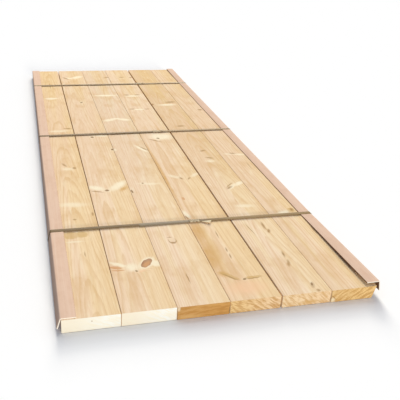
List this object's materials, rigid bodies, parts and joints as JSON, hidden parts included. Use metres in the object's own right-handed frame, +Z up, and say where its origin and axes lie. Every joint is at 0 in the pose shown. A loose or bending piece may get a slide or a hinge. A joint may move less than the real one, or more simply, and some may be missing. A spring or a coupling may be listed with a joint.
{
  "type": "bundle of pine boards",
  "caption": "Flat bundle of pale planed pine boards laid side by side, held by taut dark straps with crimped seals over folded paperboard edge guards.",
  "frame": {"origin": "on the floor, under the middle of the bundle", "axes": "+X across the boards from the first to the last, +Y along the boards from the near end to the far end, +Z up"},
  "size_m": [0.8768, 2.4404, 0.0521],
  "materials": {
    "pine": "planed, unpainted softwood with knots",
    "paperboard": "matte laminated kraft paperboard",
    "strap": "semi-gloss bronze-brown strapping",
    "seal_steel": "bright crimped steel"
  },
  "bodies": {
    "root": {"board_1": "pine", "board_2": "pine", "board_3": "pine", "board_4": "pine", "board_5": "pine", "board_6": "pine", "edge_guard_left": "paperboard", "edge_guard_right": "paperboard", "strap_near": "strap", "strap_middle": "strap", "strap_far": "strap", "seal_near": "seal_steel", "seal_middle": "seal_steel", "seal_far": "seal_steel"}
  },
  "joints": []
}
